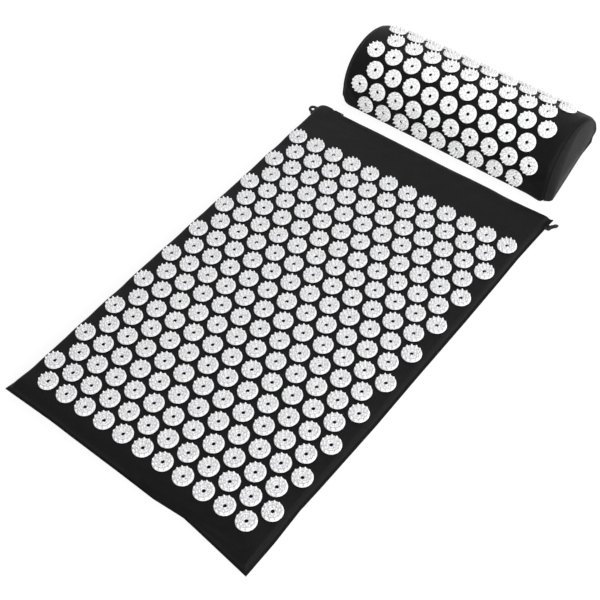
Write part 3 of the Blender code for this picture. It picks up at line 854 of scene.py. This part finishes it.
def panel_height(panel, panel_y, x, y, pick):
    """Least or greatest height of a panel near places given as on its grid before it was moved."""
    i = np.abs(mat_x[None, :] - x.reshape(-1, 1)).argmin(1)
    j = np.abs(panel_y[None, :] - y.reshape(-1, 1)).argmin(1)
    height = panel[..., 2]
    last_j, last_i = height.shape[0] - 1, height.shape[1] - 1
    around = [
        height[np.clip(j + dj, 0, last_j), np.clip(i + di, 0, last_i)]
        for dj in (-1, 0, 1)
        for di in (-1, 0, 1)
    ]
    return pick(around, axis=0).reshape(x.shape)


CORE_EDGE = 0.005
CORE_CLEAR = 0.0004


def add_mat_core():
    """The foam slab, whose top follows the cloth where that dips."""
    low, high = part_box("mat_foam")
    middle, half = (low + high) / 2, (high - low) / 2
    edge = edge_line(0.0, CORE_EDGE, 0.0)
    places = []
    for half_side, centre in ((half.x, middle.x), (half.y, middle.y)):
        place, rise = across(edge, edge, half_side)
        places.append((place + centre, rise))
    x, y = np.meshgrid(places[0][0], places[1][0])
    rise = places[0][1][None, :] * places[1][1][:, None]
    room = CLOTH + CORE_CLEAR
    top = high.z - CORE_EDGE * (1 - rise)
    top = np.minimum(top, panel_height(mat_top, top_y, x, y, np.min) - room)
    bottom = low.z + CORE_EDGE * (1 - rise)
    bottom = np.maximum(bottom, panel_height(mat_bottom, bottom_y, x, y, np.max) + room)
    top = np.maximum(top, bottom + CORE_CLEAR)
    pulled = top_head_outline(mat_outline(np.stack([x, y, np.full_like(top, MAT_TOP)], -1)))
    x, y = pulled[..., 0], np.minimum(pulled[..., 1], y)
    rows, columns = x.shape
    count = rows * columns
    points = np.concatenate([np.stack([x, y, z], -1).reshape(-1, 3) for z in (top, bottom)])
    faces = grid_faces(rows, columns) + grid_faces(rows, columns, count, flip=True)
    grid = np.arange(count).reshape(rows, columns)
    sides = (grid[0], grid[1:, -1], grid[-1, -2::-1], grid[-2:0:-1, 0])
    border = np.concatenate(sides).tolist()
    for a, b in zip(border, border[1:] + border[:1]):
        faces.append((b, a, count + a, count + b))
    obj = mesh_object("mat_core", points, faces, foam)
    face_outwards(obj)
    add_piece(obj, "mat", "mat_foam")


add_mat_core()


# Pillow

ARC_STEPS = 52
FOOT_STEPS = 4
LEG_STEPS = 6
BACK_STEPS = 3
BASE_STEPS = 34
CORNER_STEPS = 4
END_STEPS = 6
BOTTOM_ROUND = 0.0022


def at_x(x, line):
    return np.column_stack([np.full(len(line), x), line])


def pillow_arc(inset):
    """The round (y, z) of the pillow from front to back, this far inside its skin."""
    arc = []
    for k in range(ARC_STEPS + 1):
        y, z = on_circle(PILLOW_RADIUS - inset, LEG_ANGLE * (1 - k / ARC_STEPS))
        arc.append((y, PILLOW_AXIS + z))
    return arc


def front_leg_y(inset, height):
    """Place at this height of the straight front leg, which leaves the round smoothly."""
    above = (height - PILLOW_AXIS) * sin(LEG_ANGLE)
    return (PILLOW_RADIUS - inset - above) / cos(LEG_ANGLE)


def round_panel_line(inset, low_end):
    """(y, z) from the front seam up over the round and down to low_end at the back."""
    radius = PILLOW_RADIUS - inset
    line = []
    bottom = inset + CLOTH + SEAT_GAP
    for k in range(FOOT_STEPS):
        tuck, rise = drawn_in(BOTTOM_ROUND, pi / 2 * k / FOOT_STEPS)
        line.append((front_leg_y(inset, bottom + rise) + tuck, bottom + rise))
    top = PILLOW_AXIS + radius * sin(LEG_ANGLE)
    low = bottom + BOTTOM_ROUND
    for k in range(LEG_STEPS):
        height = low + (top - low) * k / LEG_STEPS
        line.append((front_leg_y(inset, height), height))
    line += pillow_arc(inset)
    start = line[-1][1]
    for k in range(1, BACK_STEPS + 1):
        line.append((radius, start + (low_end - start) * k / BACK_STEPS))
    return line


def base_panel_line(inset, top_end):
    """(y, z) along the base from its front edge to its edge beside the zip."""
    radius = PILLOW_RADIUS - inset
    front = front_leg_y(inset, inset) + BOTTOM_ROUND / 2
    width = radius - BASE_CORNER - front
    line = [(front + width * k / BASE_STEPS, inset) for k in range(BASE_STEPS)]
    for k in range(CORNER_STEPS + 1):
        tuck, rise = drawn_in(BASE_CORNER, pi / 2 * k / CORNER_STEPS)
        line.append((radius - tuck, inset + rise))
    line.append((radius, (line[-1][1] + top_end) / 2))
    line.append((radius, top_end))
    return line


def end_round(radius, first_angle):
    """(place behind the end, inset of the skin) round the edge of an end."""
    return [drawn_in(radius, first_angle * (1 - k / END_STEPS)) for k in range(END_STEPS + 1)]


def pillow_stations():
    """(place along X, inset of the skin) from the left end seam to the right one."""
    edge = end_round(END_RADIUS, SEAM_ANGLE)
    left = [(depth - PILLOW_HALF, inset) for depth, inset in edge]
    span = -2 * left[-1][0]
    count = round(span / GRID_STEP)
    inner = [(left[-1][0] + span * k / count, 0.0) for k in range(1, count)]
    return left + inner + [(-x, inset) for x, inset in reversed(left)]


SEAM_GROOVE = 0.0009
SEAM_GROOVE_WIDTH = 0.0022
GROOVE_FADE = 0.012
GROOVE_BACK = 0.035


def groove_at(distance):
    return SEAM_GROOVE * exp(-((distance / SEAM_GROOVE_WIDTH) ** 2))


def grooved(line_of, inset, groove):
    """A line (y, z) pressed in by the seam's groove, which is faint at the floor and the back."""
    plain = line_of(inset)
    off_floor = ease(plain[:, 1], 0.0, GROOVE_FADE)
    depth = off_floor * (1 - ease(plain[:, 0], 0.0, GROOVE_BACK))
    return plain + (line_of(inset + groove) - plain) * depth[:, None]


def pillow_panel(line_of, end_sign):
    """Outer surface through a line (y, z) at every station along X."""
    stations = pillow_stations()
    seam_x = -stations[0][0]
    rows = []
    for x, inset in stations:
        low = PILLOW_ZIP_HEIGHT + end_sign * ZIP_OPENING / 2 * (1 - past_zip("pillow", x))
        groove = groove_at(seam_x - abs(x))
        line = grooved(lambda skin: np.array(line_of(skin, low)), inset, groove)
        rows.append(at_x(x, line))
    return np.array(rows) + PILLOW_PLACE


# Distances from a disc's centre, in disc radii
PRESS_REACH = 1.5
PRESS_FULL = 0.98
PRESS_END = 1.24


def press_to_discs(points):
    """Lets the cloth lie flat under each disc that is glued to it."""
    shape = points.shape
    flat = points.reshape(-1, 3)
    moved = flat.copy()
    for centre, normal in zip(pillow_disc_centres, pillow_disc_normals):
        away = flat - centre
        distance = np.linalg.norm(away, axis=1)
        close = distance < DISC_RADIUS * PRESS_REACH
        rise = -(away[close] @ normal) - SEAT_GAP
        hold = 1 - ease(distance[close], DISC_RADIUS * PRESS_FULL, DISC_RADIUS * PRESS_END)
        moved[close] += (rise * hold)[:, None] * normal
    return moved.reshape(shape)


# Places of the pillow's right end: its seam, and its panel, where it faces the front and the back
RIGHT_SEAM_X = (0.1656, 0.1604)
RIGHT_PANEL_X = (0.1768, 0.1576)
RIGHT_SHIFT_FROM = 0.146

# Where its upper back stands out: how far, between which heights, and from front 0 to back 1
RIGHT_HIGH_BACK_OUT = 0.0040
RIGHT_HIGH_Z = (0.008, 0.030)
RIGHT_HIGH_BACK = (0.45, 0.85)

# Where its foot comes forward: how far, below which height, to which back, and along X
RIGHT_FOOT_OUT = 0.0026
RIGHT_FOOT_HEIGHT = 0.025
RIGHT_FOOT_BACK = 0.25
RIGHT_FOOT_REACH = 0.03

LEFT_FOOT_ROUND = 0.018
LEFT_FOOT_HEIGHT = 0.015


def round_left_foot(points):
    """Rounds the front corner of the left end, more and more towards the floor."""
    x, y, z = points[..., 0].copy(), points[..., 1].copy(), points[..., 2]
    radius = LEFT_FOOT_ROUND * np.clip(1 - z / LEFT_FOOT_HEIGHT, 0, 1)
    in_x = np.clip(radius - (x - PILLOW_X + PILLOW_HALF), 0, radius)
    in_y = np.clip(radius - (y - PILLOW_Y - front_leg_y(0.0, z)), 0, radius)
    length = np.maximum(np.hypot(in_x, in_y), TINY)
    inside = 1 - np.maximum(in_x, in_y) / length
    points[..., 0] = x + in_x * inside
    points[..., 1] = y + in_y * inside
    return points


def pull_right_end(points):
    """Sets the right end askew, as the sewn cover pulls it."""
    x, y, z = points[..., 0], points[..., 1], points[..., 2]
    end = PILLOW_X + PILLOW_HALF
    seam = end - END_RADIUS * (1 - sin(SEAM_ANGLE))
    back = np.clip((y - PILLOW_Y) / PILLOW_RADIUS, -1, 1) / 2 + 0.5
    seam_shift = np.interp(back, (0, 1), RIGHT_SEAM_X) - seam
    panel_shift = np.interp(back, (0, 1), RIGHT_PANEL_X) - end
    past = np.clip((x - seam) / (end - seam), 0, 1)
    shift = seam_shift + (panel_shift - seam_shift) * past
    shift += RIGHT_HIGH_BACK_OUT * ease(z, *RIGHT_HIGH_Z) * ease(back, *RIGHT_HIGH_BACK)
    foot = 1 - ease(back, 0.0, RIGHT_FOOT_BACK)
    foot *= 1 - ease(z, 0.0, RIGHT_FOOT_HEIGHT)
    points[..., 0] = x + shift * ease(x, RIGHT_SHIFT_FROM, seam)
    points[..., 1] = y - RIGHT_FOOT_OUT * foot * ease(x, seam - RIGHT_FOOT_REACH, seam)
    return points


PILLOW_SURPLUS = 0.003
PILLOW_HELD_BELOW = (0.004, 0.016)

round_points = pillow_panel(round_panel_line, 1)
round_points = round_left_foot(pull_right_end(press_to_discs(round_points)))
held = held_places(round_points, pillow_disc_centres, *PILLOW_HELD_BELOW)
round_points = settle(round_points, held, PILLOW_SURPLUS, flip=True)
base_points = round_left_foot(pull_right_end(pillow_panel(base_panel_line, -1)))
for name, node, points, flip, material in (
    ("pillow_cloth_round", "pillow_cover_top", round_points, True, cloth_round),
    ("pillow_cloth_base", "pillow_cover_base", base_points, False, cloth_flat),
):
    faces = grid_faces(*points.shape[:2], flip=flip)
    piece = cloth_panel(name, points, faces, material, "pillow", node)


def d_ring(inset):
    """The whole outline (y, z) of the end panel, this far inside the pillow's skin."""
    joint = max(PILLOW_ZIP_HEIGHT, inset + BASE_CORNER + CLOTH)
    top = round_panel_line(inset, joint)
    base = base_panel_line(inset, joint)
    return np.array(top + base[::-1][1:])


END_CROWN = 0.0055
END_CROWN_RISE = 0.030
END_CROWN_SLOPE = radians(12)
END_FOOT_HEIGHT = 0.030
END_FOOT_DROP = 0.6
END_RINGS = 9
END_CENTRE = np.array((0.0, 0.033))
RIM_STEPS = 7
GROOVE_SINK = 0.6


def add_pillow_end(name, side):
    """The D-shaped end panel: a rounded rim and a face that swells a little."""
    turn = pi / 2 - END_CROWN_SLOPE - SEAM_ANGLE
    rings = []
    for k in range(RIM_STEPS + 1):
        angle = SEAM_ANGLE + turn * k / RIM_STEPS
        depth, inset = drawn_in(END_RADIUS, angle)
        groove = groove_at((angle - SEAM_ANGLE) * END_RADIUS)
        depth += groove * GROOVE_SINK
        outline = grooved(d_ring, inset, groove)
        if side > 0:
            low = 1 - ease(outline[:, 1], 0.0, END_FOOT_HEIGHT)
            outline[:, 1] -= END_FOOT_DROP * inset * low
        rings.append(at_x(side * (PILLOW_HALF - depth), outline))
    rim = rings[-1]
    count = len(rim)
    face_from = RIM_STEPS * count
    for k in range(1, END_RINGS + 1):
        ring = rim.copy()
        ring[:, 1:] = END_CENTRE + (rim[:, 1:] - END_CENTRE) * (1 - k / (END_RINGS + 1))
        rings.append(ring)
    faces = grid_faces(len(rings), count, flip=side < 0, closed=True)
    faces += fan_faces((len(rings) - 1) * count, count, len(rings) * count, flip=side < 0)
    points = np.concatenate([*rings, [(rim[0][0], *END_CENTRE)]])
    face = points[face_from:]
    reach = np.hypot(face[:, 1], face[:, 2] - PILLOW_AXIS)
    inside = np.clip(1 - (reach / (PILLOW_RADIUS - END_RADIUS)) ** 2, 0, 1)
    rise = ease(face[:, 2], END_RADIUS, END_RADIUS + END_CROWN_RISE)
    face[:, 0] += side * END_CROWN * inside * rise
    points += PILLOW_PLACE
    points = pull_right_end(points) if side > 0 else round_left_foot(points)
    node = f"pillow_cover_end_{name}"
    piece = cloth_panel(f"pillow_cloth_end_{name}", points, faces, cloth_end, "pillow", node)


add_pillow_end("left", -1)
add_pillow_end("right", 1)


CORE_SKEW = 0.0055
CORE_RELIEF = 0.0030
CORE_RELIEF_RISE = 0.008


def add_pillow_core():
    """The half-round foam core, hollowed a little behind the zip."""
    room = CLOTH + SEAT_GAP
    edge = end_round(END_RADIUS - room, pi / 2)
    stations = [(depth - PILLOW_HALF + room, inset) for depth, inset in edge]
    stations += [(-x, inset) for x, inset in reversed(stations)]
    rings = []
    for x, inset in stations:
        foot = inset + room
        corners = [(PILLOW_RADIUS - foot, foot), (front_leg_y(foot, foot), foot)]
        ring = np.array(pillow_arc(foot) + corners)
        back = (ring[:, 0] > 0) & (ring[:, 1] < PILLOW_ZIP_HEIGHT + CORE_RELIEF_RISE)
        ring[back, 0] -= CORE_RELIEF
        rings.append(at_x(x, ring))
    count = len(ring)
    points = np.concatenate(rings) + PILLOW_PLACE
    faces = [tuple(range(count))]
    faces += grid_faces(len(rings), count, closed=True)
    faces.append(tuple(range(len(points) - count, len(points))))
    behind = (points[:, 1] - PILLOW_Y) / PILLOW_RADIUS + 1
    points[:, 0] -= CORE_SKEW * ease(points[:, 0], 0.0, PILLOW_HALF) * behind
    points = round_left_foot(points)
    obj = mesh_object("pillow_core", points, faces, foam)
    face_outwards(obj)
    add_piece(obj, "pillow", "pillow_foam")


add_pillow_core()


# Zips

COIL_PITCH = 0.0013
COIL_WIRE = 0.00028
COIL_TURN_POINTS = 10
COIL_SIDES = 6
TAPE_THICKNESS = 0.0005
TAPE_ROWS = 7
TAPE_STEP = 0.002
TAPE_TAIL = 0.005
TAPE_TUCK = 0.0014
TAPE_TIP = 0.65
TAPE_WAVE = 0.00004
TAPE_WAVE_LENGTH = 0.009
TAPE_WAVE_LEAN = 900
METAL_ROUND = 0.00025
METAL_ROUND_STEPS = 3
METAL_SHARP = radians(40)


def add_coil(prefix, name, side):
    """One half of the zip's spiral coil."""
    node = f"{prefix}_zip_coil_{name}"
    low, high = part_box(node)
    half_z = (high.z - low.z) / 2 - COIL_WIRE
    half_y = (high.y - low.y) / 2 - COIL_WIRE
    turns = int((high.x - low.x - 2 * COIL_WIRE) / COIL_PITCH)
    steps = turns * COIL_TURN_POINTS
    angle = np.arange(steps + 1) * 2 * pi / COIL_TURN_POINTS + (side < 0) * pi
    x = np.linspace(low.x + COIL_WIRE, high.x - COIL_WIRE, steps + 1)
    y = (low.y + high.y) / 2 + half_y * np.sin(angle)
    z = (low.z + high.z) / 2 + half_z * np.cos(angle)
    points, faces = tube(np.column_stack([x, y, z]), lambda k, s: COIL_WIRE, COIL_SIDES)
    coil = mesh_object(f"{prefix}_coil_{name}", points, faces, zip_nylon)
    add_piece(coil, prefix, node)


def add_tape(prefix, name, side, seam):
    """One woven tape, whose ends narrow and tuck into the seam at this height."""
    node = f"{prefix}_zip_tape_{name}"
    low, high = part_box(node)
    columns = round((high.x - low.x) / TAPE_STEP)
    xs = np.linspace(low.x - TAPE_TAIL, high.x + TAPE_TAIL, columns)
    x, z = np.meshgrid(xs, np.linspace(low.z, high.z, TAPE_ROWS))
    beyond = np.maximum(low.x - x, x - high.x)
    past = ease(beyond, -TAPE_TAIL / 4, TAPE_TAIL / 4)
    near, far = (low.z, high.z) if side > 0 else (high.z, low.z)
    z += (seam - near) * past * (z - far) / (near - far)
    y = high.y - TAPE_WAVE * (1 + np.sin(x * 2 * pi / TAPE_WAVE_LENGTH + z * TAPE_WAVE_LEAN))
    tip = ease(beyond, 0.0, TAPE_TAIL)
    z = seam + (z - seam) * (1 - TAPE_TIP * tip)
    y -= TAPE_TUCK * tip
    faces = grid_faces(TAPE_ROWS, columns, flip=True)
    tape = mesh_object(f"{prefix}_tape_{name}", np.stack([x, y, z], -1), faces, zip_cloth)
    thicken(tape, TAPE_THICKNESS)
    add_piece(tape, prefix, node)


def add_zip(prefix, seam):
    """Tapes and spiral coils of one zip, and enamel and rounded edges for its metal."""
    for name, side in (("upper", 1), ("lower", -1)):
        add_coil(prefix, name, side)
        add_tape(prefix, name, side, seam)
    for name in ("slider", "pull", "stop_left", "stop_right"):
        node = nodes[f"{prefix}_zip_{name}"]
        node.data.materials.clear()
        node.data.materials.append(zip_enamel)
        modifier = node.modifiers.new("rounded edges", "BEVEL")
        modifier.width = METAL_ROUND
        modifier.segments = METAL_ROUND_STEPS
        modifier.limit_method = "ANGLE"
        modifier.angle_limit = METAL_SHARP


add_zip("mat", MAT_SEAM)
add_zip("pillow", PILLOW_ZIP_HEIGHT)


# Loops

LOOP_CORD = 0.0043
LOOP_RING = 0.0128
LOOP_TAIL = 0.005
LOOP_STEM = 0.0015
LOOP_ARC_STEPS = 24
LOOP_STEPS = 120
LOOP_SMOOTHING = 6
LOOP_SIDES = 20
BRAID_TURNS = 9
BRAID_STRANDS = 4
BRAID_DEPTH = 0.13

# Name, side, place before the head edge, reach, heading and tilt of each loop
LOOPS = (
    ("left", -1, 0.0165, 0.0150, radians(132), 0.0),
    ("right", 1, 0.0100, 0.0146, radians(54), radians(-43)),
)


def braid(k, s):
    """Radius of the cord at this step along it and this side of it."""
    along = 2 * pi * BRAID_TURNS * k / LOOP_STEPS
    around = 2 * pi * s / LOOP_SIDES
    left = cos(BRAID_STRANDS * around + along)
    right = cos(BRAID_STRANDS * around - along)
    return LOOP_CORD / 2 * (1 - BRAID_DEPTH + BRAID_DEPTH * max(left, right))


def add_loop(name, side, inset, reach, heading, tilt):
    """A braided cord loop with both ends in the side seam."""
    ring = (LOOP_RING - LOOP_CORD) / 2 + SEAT_GAP
    strand = LOOP_CORD / 2 + SEAT_GAP
    opening = asin(strand / ring)
    middle = reach - LOOP_CORD / 2 - ring
    turn = Matrix.Rotation(heading, 3, "Z") @ Matrix.Rotation(tilt, 3, "X")
    line = [Vector((side * x, -side * strand, 0)) for x in (-LOOP_TAIL, LOOP_STEM)]
    for k in range(LOOP_ARC_STEPS + 1):
        angle = pi + opening + (2 * pi - 2 * opening) * k / LOOP_ARC_STEPS
        x, y = on_circle(ring, angle)
        line.append(turn @ Vector((middle + x, y, 0)))
    line += [Vector((side * x, side * strand, 0)) for x in (LOOP_STEM, -LOOP_TAIL)]
    start = Vector((side * (MAT_HALF_X + SEAT_GAP), MAT_HALF_Y - inset, MAT_SEAM))
    line = np.array([start + p for p in line])
    gone = np.concatenate([[0], np.cumsum(np.linalg.norm(np.diff(line, axis=0), axis=1))])
    even = np.linspace(0, gone[-1], LOOP_STEPS)
    path = np.column_stack([np.interp(even, gone, line[:, a]) for a in range(3)])
    for _ in range(LOOP_SMOOTHING):
        path[1:-1] = (path[:-2] + 2 * path[1:-1] + path[2:]) / 4
    points, faces = tube(path, braid, LOOP_SIDES)
    obj = mesh_object(f"mat_cord_loop_{name}", points, faces, cord_fibre)
    face_outwards(obj)
    add_piece(obj, "mat", f"mat_loop_{name}")


for loop in LOOPS:
    add_loop(*loop)


# Camera, lights and floor


def add_camera():
    """The camera of the photograph, whose aim lies off the middle of the picture."""
    turn = (
        Matrix.Rotation(AZIMUTH, 4, "Z")
        @ Matrix.Rotation(pi / 2 - ELEVATION, 4, "X")
        @ Matrix.Rotation(-ROLL, 4, "Z")
    )
    aside, below = (np.array(AIM_PX) - PHOTO / 2) * AIM_DISTANCE / FOCAL_PX
    eye = AIM - turn.to_3x3() @ Vector((aside, -below, -AIM_DISTANCE))
    data = bpy.data.cameras.new("camera")
    data.sensor_width = SENSOR
    data.lens = SENSOR * FOCAL_PX / PHOTO
    scene.camera = add_object("camera", data)
    scene.camera.matrix_world = Matrix.Translation(eye) @ turn


# Name, place, aim, size and watts of each softbox
SOFTBOXES = (
    ("key", (1.6, 0.95, 1.1), (0.1, 0.2, 0), (1.1, 1.1), 18),
    ("back", (-0.72, 1.05, 1.35), (0.05, 0.1, 0), (1.6, 1.1), 12),
    ("fill", (1.9, -1.2, 1.0), (0, 0.2, 0), (1.8, 1.5), 60),
)
ROOM_STRENGTH = 0.34
WHITE = (1, 1, 1, 1)
FLOOR_HALF = 6
FLOOR_DROP = 0.0002
FLOOR_GLOW = 0.86
FLOOR_SHADE = (0.20, 0.20, 0.20, 1)
FLOOR_BOUNCE = (0.90, 0.90, 0.90, 1)


def add_softbox(name, place, aim, size, watts):
    data = bpy.data.lights.new(name, "AREA")
    data.shape = "RECTANGLE"
    data.size, data.size_y = size
    data.energy = watts
    light = add_object(name, data)
    light.location = place
    direction = Vector(aim) - Vector(place)
    light.rotation_mode = "QUATERNION"
    light.rotation_quaternion = direction.to_track_quat("-Z", "Y")


def add_shader(tree, kind, *linked, **values):
    """Adds one node: its first inputs are linked in turn, and the values are set by name."""
    node = tree.nodes.new(kind)
    for k, output in enumerate(linked):
        tree.links.new(output, node.inputs[k])
    for name, value in values.items():
        node.inputs[name].default_value = value
    return node


def seen_directly(tree):
    """1 for camera, glossy and transmission rays, which see the white background."""
    path = tree.nodes.new("ShaderNodeLightPath")
    seen = path.outputs["Is Camera Ray"]
    for ray in ("Is Glossy Ray", "Is Transmission Ray"):
        either = add_shader(tree, "ShaderNodeMath", seen, path.outputs[ray])
        either.operation = "MAXIMUM"
        seen = either.outputs[0]
    return seen


def split_by_ray(owner, unseen, seen, output):
    """Ends a world's or a material's nodes: one look for rays that see it, one for the others."""
    tree = owner.node_tree
    looks = (unseen.outputs[0], seen.outputs[0])
    mix = add_shader(tree, "ShaderNodeMixShader", seen_directly(tree), *looks)
    add_shader(tree, output, mix.outputs[0])


def emptied(owner):
    owner.use_nodes = True
    owner.node_tree.nodes.clear()
    return owner.node_tree


def add_world():
    """Even light from all round, which looks white where it is seen."""
    world = bpy.data.worlds.new("studio")
    scene.world = world
    tree = emptied(world)
    room = add_shader(tree, "ShaderNodeBackground", Color=WHITE, Strength=ROOM_STRENGTH)
    white = add_shader(tree, "ShaderNodeBackground", Color=WHITE)
    split_by_ray(world, room, white, "ShaderNodeOutputWorld")


def add_floor():
    """A white floor that keeps a faint shadow of the object."""
    material = bpy.data.materials.new("floor")
    tree = emptied(material)
    bounce = add_shader(tree, "ShaderNodeBsdfDiffuse", Color=FLOOR_BOUNCE)
    shade = add_shader(tree, "ShaderNodeBsdfDiffuse", Color=FLOOR_SHADE)
    glow = add_shader(tree, "ShaderNodeEmission", Strength=FLOOR_GLOW)
    looks = (glow.outputs[0], shade.outputs[0])
    both = add_shader(tree, "ShaderNodeAddShader", *looks)
    split_by_ray(material, bounce, both, "ShaderNodeOutputMaterial")
    corners = ((-1, -1), (1, -1), (1, 1), (-1, 1))
    points = [(x * FLOOR_HALF, y * FLOOR_HALF, -FLOOR_DROP) for x, y in corners]
    floor = mesh_object("floor", points, [(0, 1, 2, 3)], material)
    floor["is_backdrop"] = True


add_camera()
add_floor()
add_world()
for softbox in SOFTBOXES:
    add_softbox(*softbox)
scene.view_settings.view_transform = "Standard"

low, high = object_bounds()
